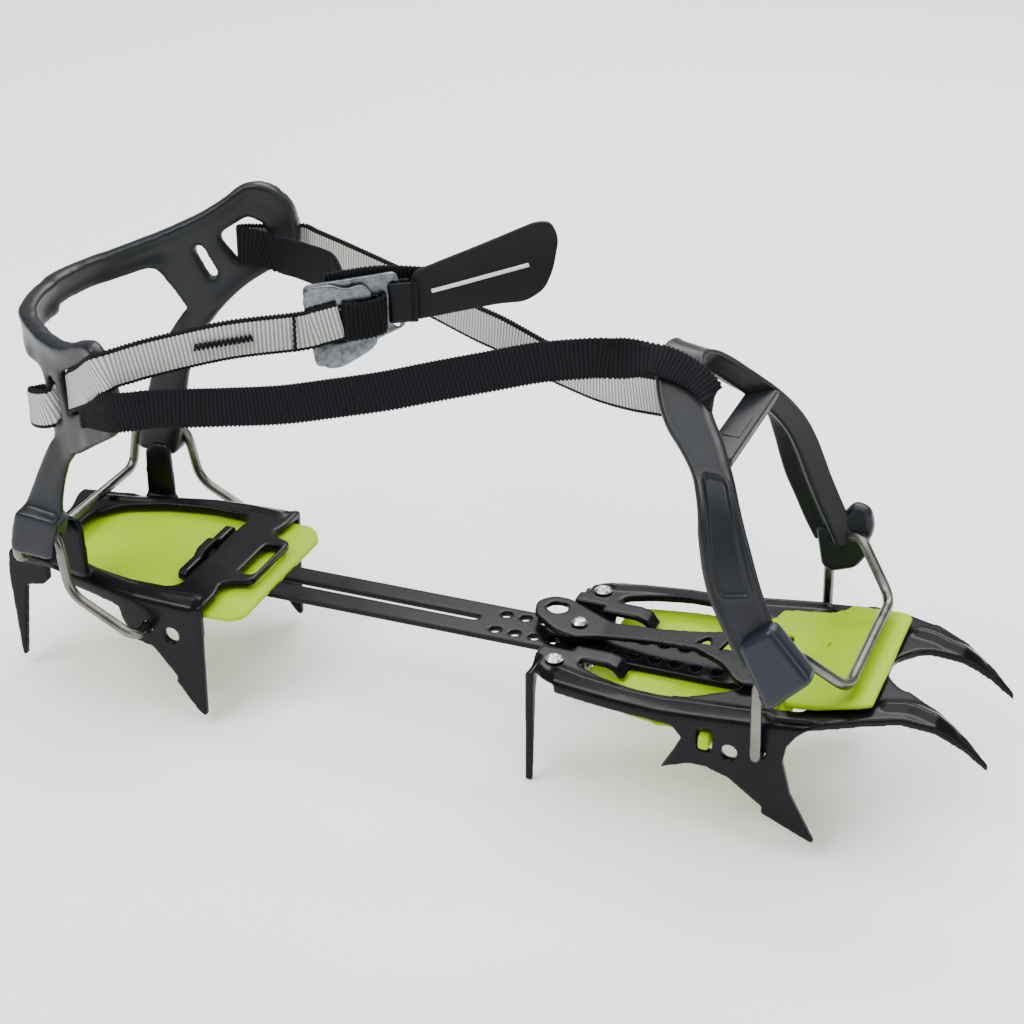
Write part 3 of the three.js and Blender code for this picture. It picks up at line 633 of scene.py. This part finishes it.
# Moulded ends of the toe basket, as x and z. The left leg ends in a foot with a small cap outside it.
RIGHT_CAP = [(87.4, 13), (103.2, 29.2), (87, 47.5), (75.3, 37.6)]
LEFT_CAP = [(87, 27), (96.5, 27), (99.2, 35), (97, 43), (90.5, 44.8), (85.5, 38)]
LEFT_FOOT = [(76.8, 34), (80.2, 17), (84.5, 15.2), (93.5, 18.5), (97.4, 24.5), (97.6, 34)]
RIM_REACH = 4.5


def rim_line(outline, side):
    """The rim's places in space: the outline gives x and z, the plan of the wall gives y."""
    half = [(x, y) for x, y in HEEL_PLAN if y * side >= 0]
    half.sort()
    return [(x, lookup(x, half), z) for x, z in outline]


def edit_heel_basket(points):
    """Swells the wall along its rims, so the basket reads as a rounded moulding."""
    plan = catmull([(x, y, 0) for x, y in HEEL_PLAN], 1.0)[:, :2]
    ahead = unit(np.gradient(plan, axis=0))
    normals = np.column_stack([-ahead[:, 1], ahead[:, 0]])
    nearest = np.full(len(points), 1e9)
    for side, outlines in ((1, LEFT_RIMS), (-1, RIGHT_RIMS)):
        for outline in outlines:
            line = np.array(rim_line(outline, side))
            for a, b in zip(line, line[1:]):
                t = np.clip(((points - a) @ (b - a)) / ((b - a) @ (b - a)), 0, 1)
                nearest = np.minimum(nearest, np.linalg.norm(points - a - t[:, None] * (b - a), axis=1))
    fresh = points.copy()
    for start in range(0, len(points), 20000):
        part = slice(start, start + 20000)
        gaps = points[part, None, :2] - plan[None]
        index = np.argmin(np.sum(gaps * gaps, axis=2), axis=1)
        normal = normals[index]
        offset = np.sum((points[part, :2] - plan[index]) * normal, axis=1)
        grow = offset * RIM_SWELL * np.exp(-(nearest[part] / RIM_REACH) ** 2)
        fresh[part, :2] += grow[:, None] * normal
    return fresh


def build_basket_blocks():
    blocks = (("toe_cap_right", RIGHT_CAP, -56.2, -46.4), ("toe_cap_left", LEFT_CAP, 47.8, 55),
              ("toe_foot_left", LEFT_FOOT, 46.6, 53.2))
    for name, outline, low, high in blocks:
        bevel = min(3.2, (high - low) * 0.4)
        piece = rounded_block(name, outline, low, high, bevel, "basket_cap")
        place(piece, "toe_bail", "basket_plastic")
    bar = [(-31.5, 91.4), (31.5, 91.4), (30.5, 95.4), (-30.5, 95.4)]
    brace = rounded_block("toe_brace", bar, 53.3, 64.3, 1.2, "basket_plastic", "x")
    place(brace, "toe_bail", "basket_plastic")
    plate = [(-14, 94.9), (4, 94.9), (4, 95.7), (-14, 95.7)]
    panel = rounded_block("brace_panel", plate, 55.6, 62, 0.3, "basket_plastic", "x")
    place(panel, "toe_bail", "basket_plastic")
    fine_skin("heel_basket", 0.75, 22, "basket_plastic", edit_heel_basket)


# ---- webbing --------------------------------------------------------------------------------
UPRIGHT = (0, 0, 1)
SEWN = [(-86.7, -17.2, 117.8), (-93.3, -21.0, 116.1), (-100, -24.9, 114.6), (-120.9, -39.1, 113.7),
        (-140.6, -52.6, 110.4), (-151, -60, 108), (-158.5, -65.4, 105.6), (-168, -62.3, 98.1),
        (-175, -58, 93.4), (-180.3, -52.8, 89.4)]
RIGHT_LOOP = [(-184.5, -46.9, 85.5), (-188, -45.9, 82.4), (-191.5, -49, 80), (-196, -48.8, 78.2),
              (-201, -46.3, 76.7), (-204.3, -42.6, 75.6), (-201.5, -39.6, 75.8), (-196, -40.2, 76.8),
              (-190, -42.2, 78), (-184.5, -44.2, 80), (-178, -51, 83.5), (-173, -57.8, 86.7)]
RIGHT_RUN = [(-170, -60.8, 88.6), (-162, -64.9, 90.3), (-154, -67.8, 92), (-146, -67, 93.4),
             (-138, -63.6, 94.2), (-118, -53, 93.7), (-97, -47.5, 95.8), (-79, -42.7, 99.2),
             (-61, -38, 103), (-43.5, -33.8, 107.8), (-25.4, -30.4, 112.9), (-7.5, -26.5, 117.7),
             (9.2, -22, 120.1), (16.8, -17.7, 119.6)]
CROWN = [((28, -13.4, 119.4), (-2.9, 8, 7.6), 12.5), ((36, -13.2, 118.8), (-1.3, 7.7, 7.1), 11.5),
         ((44.3, -14.6, 116.6), (0.7, 6.4, 5.7), 10.5), ((49.8, -16.6, 114), (1.2, 4.8, 4.2), 10),
         ((52.3, -17.3, 111), (0.5, 5, 6), 10), ((51, -15, 107.2), (-1, 5, 8), 11),
         ((45, -9, 103.4), (-4, 2, 13), 13), ((37, -4.5, 101), (-6, 0, 14), 15)]
LEFT_RUN = [(28, 0, 99.7), (15, 6, 97), (2, 11.4, 95.8), (-10, 16.5, 96), (-21, 21.5, 96.6),
            (-42.6, 30.9, 99.7), (-56.7, 37, 100.6), (-78.6, 46.6, 102.9), (-99.6, 55.7, 104.5),
            (-125.3, 67, 106), (-140, 74, 106.3), (-148, 77.5, 106.6), (-158, 72, 107)]
LEFT_LOOP = [(-163, 68.8, 107.4), (-167, 65.5, 108), (-168.6, 61.6, 108.6), (-166.6, 58.8, 109),
             (-161, 60, 108.4)]
FREE = [(-152, 61.5, 106), (-140, 52, 109.5), (-124.5, 36, 115), (-112, 23, 119.5), (-104, 14.5, 121.5),
        (-97, 5, 121), (-90, -3.5, 119), (-84, -8, 117.6)]


def strap_rows(entries):
    """Rows of centre, width direction and width for one continuous strap."""
    rows = []
    for entry in entries:
        if len(entry) == 3 and not isinstance(entry[0], tuple):
            entry = (entry, UPRIGHT, WEB_WIDTH)
        center, across, width = entry
        rows.append([*center, *unit(np.array(across, float)), width])
    return rows


def ribbon(name, samples, start=0.0, materials=("strap_black", "strap_grey"), thickness=WEB_THICK,
           rib_height=RIB_HEIGHT):
    """Webbing through sampled rows: ribs across it, scalloped edges, one material on each face."""
    centers, across, widths = samples[:, :3], samples[:, 3:6], samples[:, 6]
    ahead = unit(np.gradient(centers, axis=0))
    across = unit(across - ahead * np.sum(ahead * across, axis=1, keepdims=True))
    normal = np.cross(ahead, across)
    along = start + np.r_[0, np.cumsum(np.linalg.norm(np.diff(centers, axis=0), axis=1))]
    rib = 0.5 + 0.5 * np.cos(2 * math.pi * along / RIB_PITCH)
    spots = np.array([-1, -0.94, -0.8, -0.4, 0, 0.4, 0.8, 0.94, 1])
    thick = np.array([0.35, 0.8, 1, 1, 1, 1, 1, 0.8, 0.35]) * thickness / 2
    half = widths[:, None] / 2 + TOOTH * (rib[:, None] - 0.5)
    wide = half * spots
    top = thick + rib_height * rib[:, None]
    low = -thick - rib_height * (1 - rib[:, None])
    upper = centers[:, None] + wide[..., None] * across[:, None] + top[..., None] * normal[:, None]
    lower = centers[:, None] + wide[..., None] * across[:, None] + low[..., None] * normal[:, None]
    ring = np.concatenate([upper, lower[:, ::-1]], axis=1)
    sides = ring.shape[1]
    piece = mesh_object(name, ring.reshape(-1, 3), grid_faces(len(samples), sides), materials[0])
    mesh = piece.data
    mesh.materials.append(MATERIALS[materials[1]])
    shares = np.concatenate([spots, spots[::-1]]) * 0.5 + 0.5
    count = len(spots)
    layer = mesh.uv_layers.new(name="weave")
    owner = np.zeros(len(mesh.loops), int)
    mesh.loops.foreach_get("vertex_index", owner)
    coords = np.column_stack([along[owner // sides] * UV_SCALE, shares[owner % sides]])
    layer.data.foreach_set("uv", coords.ravel())
    walls = range((len(samples) - 1) * sides)
    lower_side = [count <= i % sides < 2 * count - 1 for i in walls] + [False, False]
    mesh.polygons.foreach_set("material_index", [int(flag) for flag in lower_side])
    mesh.update()
    return piece


def build_webbing():
    """One strap from the buckle round the right ear, over the toe basket and round the left ear."""
    parts = [SEWN, RIGHT_LOOP, RIGHT_RUN, CROWN, LEFT_RUN, LEFT_LOOP, FREE]
    rows = strap_rows([entry for part in parts for entry in part])
    samples = catmull(rows, RIB_PITCH / 4)
    marks = []
    for part in parts[1:]:
        first = np.array(strap_rows(part[:1])[0][:3])
        marks.append(int(np.argmin(np.linalg.norm(samples[:, :3] - first, axis=1))))
    ends = [0] + marks + [len(samples) - 1]
    along = np.r_[0, np.cumsum(np.linalg.norm(np.diff(samples[:, :3], axis=0), axis=1))]
    names = ["sewn_strap", "right_ear_loop", "right_run", "crown_wrap", "left_run", "left_ear_loop",
             "free_strap"]
    cut = {name: (samples[a:b + 1], along[a]) for name, a, b in zip(names, ends, ends[1:])}
    pieces = {name: ribbon(name, *part) for name, part in cut.items()}
    place(pieces["sewn_strap"], "heel_bail", "strap_grey", "ankle_strap_sewn")
    place(pieces["right_ear_loop"], "heel_bail", "strap_grey")
    place(pieces["crown_wrap"], "toe_bail", "strap_black")
    place(pieces["left_ear_loop"], "heel_bail", "strap_black")
    place(pieces["free_strap"], "heel_bail", "strap_black", "ankle_strap_free")
    place(pieces["right_run"], "strap_loop", "strap_black", "strap_right_run")
    place(pieces["left_run"], "strap_loop", "strap_grey", "strap_left_run")
    steps = int(HIDDEN_END / (RIB_PITCH / 4))
    wrap_start, wrap_end = marks[2], marks[3]
    toe_ends = (("right_run", wrap_start, wrap_start - 8, wrap_start + steps),
                ("left_run", wrap_end, wrap_end - steps, wrap_end + 8))
    for name, edge, first, last in toe_ends:
        hidden = samples[first:last].copy()
        hidden[:, 6] -= HIDDEN_NARROWER
        end = ribbon(name + "_end", hidden, along[first], thickness=HIDDEN_THICK, rib_height=0.1)
        place(end, "strap_loop", "strap_black")
        shorten(pieces[name])
        shorten(end)


def shorten(piece):
    """Gives the run its own copy of its mesh."""
    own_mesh(piece)


# ---- buckle, pull tab and stitching ---------------------------------------------------------
BUCKLE_PLACE = np.array([-96, -17.5, 116.0])
BUCKLE_TURN = math.radians(30)
TAB_PLACE = np.array([-71.1, -3.2, 124.5])
TAB_TURN = math.radians(20)


def local_to_working(points, center, turn):
    x, y, z = np.asarray(points, float).T
    ahead = x * math.cos(turn) - y * math.sin(turn)
    aside = x * math.sin(turn) + y * math.cos(turn)
    return np.column_stack([ahead, aside, z]) + center


def in_buckle(points):
    return local_to_working(points, BUCKLE_PLACE, BUCKLE_TURN)


def in_tab(points):
    return local_to_working(points, TAB_PLACE, TAB_TURN)


def upright_ribbon(name, centers, width, materials, step=RIB_PITCH / 4):
    rows = [[*p, 0, 0, 1, width] for p in centers]
    return ribbon(name, catmull(rows, step), 0.0, materials)


def build_buckle():
    fine_skin("buckle_frame", 0.32, 3, "buckle_steel")
    fine_skin("buckle_clamp", 0.3, 3, "buckle_steel")
    loop = [(10.5, 1.5, 1.6), (9.2, -3.4, 1.6), (11, -5.4, 1.7), (16, -5.8, 1.9), (21, -5.3, 2.6),
            (24, -3.2, 3), (23.5, 1, 3.4), (22, 3.5, 3.8)]
    wrap = upright_ribbon("buckle_wrap", in_buckle(loop), 14.2, ("strap_black", "strap_black"))
    place(wrap, "buckle_clamp", "strap_black")
    tail = [(4, 4.2, 9.4), (12, 4.6, 10.4), (22, 4.8, 11.2), (31, 4.6, 10.8), (40, 4.4, 9.8)]
    band = upright_ribbon("buckle_tail", in_buckle(tail), 14.6, ("strap_black", "strap_black"))
    place(band, "heel_bail", "strap_black")


def build_tab():
    fine_skin("pull_tab", 0.4, 3, "tab_black")
    wrap = [(8, -1.9, -1.6), (4, -2.1, -1.7), (0.5, -2.2, -2), (-1.7, -1.6, -2.3), (-2.4, 0.2, -2.5),
            (-1.6, 1.8, -2.3), (0.5, 2.1, -2), (5, 1.9, -1.7)]
    leather = tab_strip("tab_wrap", in_tab(wrap), 15.5, "tab_black")
    place(leather, "pull_tab", "tab_black")
    line = [(13, -1.25, 2.4), (24, -1.25, 5.6), (36, -1.25, 9.2), (48, -1.25, 12.8)]
    place(tab_strip("tab_line", in_tab(line), 1.5, "print_pale", 0.3), "pull_tab", "tab_black")
    stitch = [(6.2, -2.9 + 0.25 * (i % 2), 7.2 - 1.25 * i) for i in range(14)]
    seam = tube("tab_stitch", bent_line(in_tab(stitch), 0.4, 0.3), 0.4, "thread_black", 8)
    place(seam, "pull_tab", "tab_black")


def tab_strip(name, centers, width, material, thick=1.1):
    """Plain strip of leather or print with rounded edges."""
    rows = catmull([[*p, 0, 0, 1] for p in centers], 0.5)
    ahead = unit(np.gradient(rows[:, :3], axis=0))
    across = unit(rows[:, 3:6] - ahead * np.sum(ahead * rows[:, 3:6], axis=1, keepdims=True))
    normal = np.cross(ahead, across)
    section = [(-1, 0), (-0.94, 0.8), (-0.8, 1), (0.8, 1), (0.94, 0.8), (1, 0), (0.94, -0.8),
               (0.8, -1), (-0.8, -1), (-0.94, -0.8)]
    rings = [rows[:, :3] + across * a * width / 2 + normal * b * thick / 2 for a, b in section]
    ring = np.stack(rings, axis=1)
    return mesh_object(name, ring.reshape(-1, 3), grid_faces(len(rows), len(section)), material)


def build_stitching():
    """Bar tack along the sewn strap and the cross stitch at its buckle end."""
    start, end = np.array([-130.8, -47.0, 112.8]), np.array([-113.5, -35.2, 114.6])
    outward = np.array([0.56, -0.83, 0.0])
    tack = []
    for i in range(27):
        base = start + (end - start) * i / 26
        tack.append(base + outward * 1.15 + np.array([0, 0, 1.4 if i % 2 else -1.4]))
    seam = tube("bar_tack", bent_line(tack, 0.4, 0.3), 0.48, "thread_black", 8)
    place(seam, "heel_bail", "strap_black")
    cross = []
    for i in range(15):
        base = np.array([-101.6 + 0.5 * (i % 2), -26.0 + 0.3 * (i % 2), 122.3 - i * 1.07])
        cross.append(base + outward * 1.1)
    seam = tube("cross_stitch", bent_line(cross, 0.4, 0.35), 0.58, "thread_black", 8)
    place(seam, "heel_bail", "strap_black")


# ---- stage ----------------------------------------------------------------------------------
def area_light(name, place_at, target, size, power):
    data = bpy.data.lights.new(name, "AREA")
    data.shape = "RECTANGLE"
    data.size, data.size_y = size
    data.energy = power
    light = bpy.data.objects.new(name, data)
    bpy.context.scene.collection.objects.link(light)
    light.location = place_at
    light.rotation_euler = (Vector(target) - Vector(place_at)).to_track_quat("-Z", "Y").to_euler()


def build_stage():
    bpy.ops.mesh.primitive_plane_add(size=8, location=(0, 0, -0.0005))
    floor = bpy.context.object
    floor.name = "floor"
    ground = Nodes("floor")
    tone = ground.spread(ground.noise(3.0), 0.0, 1.0)
    ground.join(ground.mix(tone, linear("f4f4f4"), linear("f7f7f7")), ground.shader.inputs["Base Color"])
    ground.shader.inputs["Roughness"].default_value = 0.75
    ground.shader.inputs["Emission Color"].default_value = (1, 1, 1, 1)
    ground.shader.inputs["Emission Strength"].default_value = 0.16
    floor.data.materials.append(ground.material)
    world = bpy.data.worlds.new("studio")
    world.use_nodes = True
    world.node_tree.nodes["Background"].inputs["Color"].default_value = (1, 1, 1, 1)
    world.node_tree.nodes["Background"].inputs["Strength"].default_value = 0.45
    bpy.context.scene.world = world
    area_light("ceiling", (0, 0, 3), (0, 0, 0), (3.2, 3.2), 120)
    area_light("key", (-0.6, -0.8, 1.2), (0, 0, 0.05), (0.8, 0.5), 18)
    area_light("back", (0.1, 1.0, 1.0), (0, 0, 0.06), (1.4, 0.4), 16)
    area_light("side", (1.1, -0.4, 0.6), (0, 0, 0.06), (0.4, 0.9), 5)


def build_camera():
    azimuth, elevation = math.radians(AZIMUTH), math.radians(ELEVATION)
    right = Vector((math.cos(azimuth), math.sin(azimuth), 0))
    forward = Vector((-math.sin(azimuth) * math.cos(elevation), math.cos(azimuth) * math.cos(elevation),
                      -math.sin(elevation)))
    up = right.cross(forward)
    data = bpy.data.cameras.new("camera")
    data.lens = LENS
    data.sensor_width = 36.0
    camera = bpy.data.objects.new("camera", data)
    bpy.context.scene.collection.objects.link(camera)
    turn = Matrix((right, up, -forward)).transposed().to_4x4()
    camera.matrix_world = Matrix.Translation(Vector(to_world([EYE])[0])) @ turn
    bpy.context.scene.camera = camera


def write_size():
    bpy.context.view_layer.update()


build_frames()
build_fasteners()
build_wires()
build_toe_basket()
build_basket_blocks()
build_webbing()
build_buckle()
build_tab()
build_stitching()
build_stage()
build_camera()
write_size()
